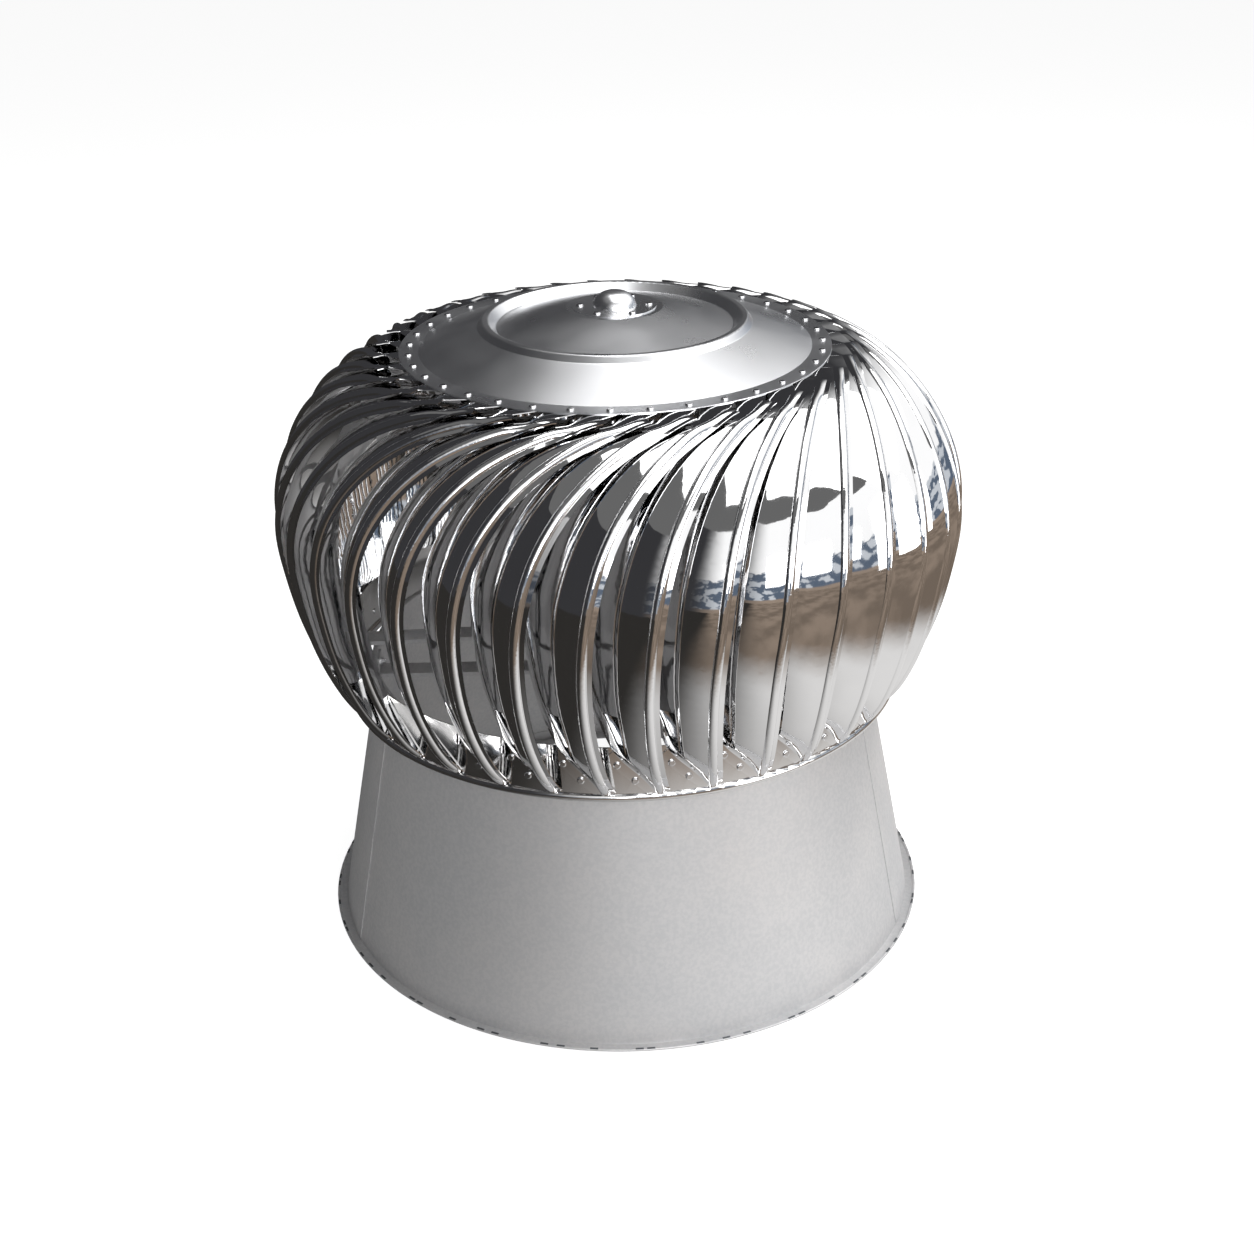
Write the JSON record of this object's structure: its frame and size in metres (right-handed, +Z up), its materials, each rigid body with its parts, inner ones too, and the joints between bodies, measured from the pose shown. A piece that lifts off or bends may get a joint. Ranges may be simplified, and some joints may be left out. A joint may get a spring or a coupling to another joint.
{
  "type": "roof turbine ventilator",
  "caption": "Roof turbine ventilator: a spinning head of curved polished blades on a tapered galvanised base.",
  "frame": {"origin": "centre of the base flange's underside, on the spindle axis", "axes": "+Z up along the spindle, -Y towards the front"},
  "size_m": [0.7902, 0.7902, 0.76],
  "materials": {
    "blade_steel": "mirror polished stainless",
    "plate_steel": "bright mill finish stainless",
    "galvanised": "matte galvanised",
    "bearing_steel": "ground",
    "fastener_steel": "satin"
  },
  "bodies": {
    "base": {"base_flange": "galvanised", "base_cone": "galvanised", "cone_seams": "galvanised", "lower_arms": "galvanised", "upper_arms": "galvanised", "arm_bolts": "fastener_steel", "spindle": "bearing_steel", "spindle_nuts": "fastener_steel", "upper_inner_ring": "bearing_steel", "lower_inner_ring": "bearing_steel"},
    "rotor": {"top_plate": "plate_steel", "top_rivets": "fastener_steel", "hub_cap": "plate_steel", "hub_rivets": "fastener_steel", "upper_housing": "galvanised", "upper_outer_ring": "bearing_steel", "rotor_arms": "galvanised", "lower_outer_ring": "bearing_steel", "lower_band": "plate_steel", "band_rivets": "fastener_steel", "rotor_arm_bolts": "fastener_steel", "housing_clips": "bearing_steel", "blade_01": "blade_steel", "blade_02": "blade_steel", "blade_03": "blade_steel", "blade_04": "blade_steel", "blade_05": "blade_steel", "blade_06": "blade_steel", "blade_07": "blade_steel", "blade_08": "blade_steel", "blade_09": "blade_steel", "blade_10": "blade_steel", "blade_11": "blade_steel", "blade_12": "blade_steel", "blade_13": "blade_steel", "blade_14": "blade_steel", "blade_15": "blade_steel", "blade_16": "blade_steel", "blade_17": "blade_steel", "blade_18": "blade_steel", "blade_19": "blade_steel", "blade_20": "blade_steel", "blade_21": "blade_steel", "blade_22": "blade_steel", "blade_23": "blade_steel", "blade_24": "blade_steel", "blade_25": "blade_steel", "blade_26": "blade_steel", "blade_27": "blade_steel", "blade_28": "blade_steel", "blade_29": "blade_steel", "blade_30": "blade_steel", "blade_31": "blade_steel", "blade_32": "blade_steel", "blade_33": "blade_steel", "blade_34": "blade_steel", "blade_35": "blade_steel", "blade_36": "blade_steel"},
    "upper_cage": {"upper_balls": "bearing_steel"},
    "lower_cage": {"lower_balls": "bearing_steel"}
  },
  "joints": [
    {"name": "rotor_spin", "type": "hinge", "parent": "base", "child": "rotor", "pos_m": [0, 0, 0.718], "axis": [0, 0, 1], "continuous": true},
    {"name": "upper_cage_spin", "type": "hinge", "parent": "base", "child": "upper_cage", "pos_m": [0, 0, 0.725], "axis": [0, 0, 1], "continuous": true},
    {"name": "lower_cage_spin", "type": "hinge", "parent": "base", "child": "lower_cage", "pos_m": [0, 0, 0.3495], "axis": [0, 0, 1], "continuous": true}
  ],
  "couplings": [
    {"joint": "upper_cage_spin", "follows": "rotor_spin", "ratio": 0.62},
    {"joint": "lower_cage_spin", "follows": "rotor_spin", "ratio": 0.6}
  ]
}
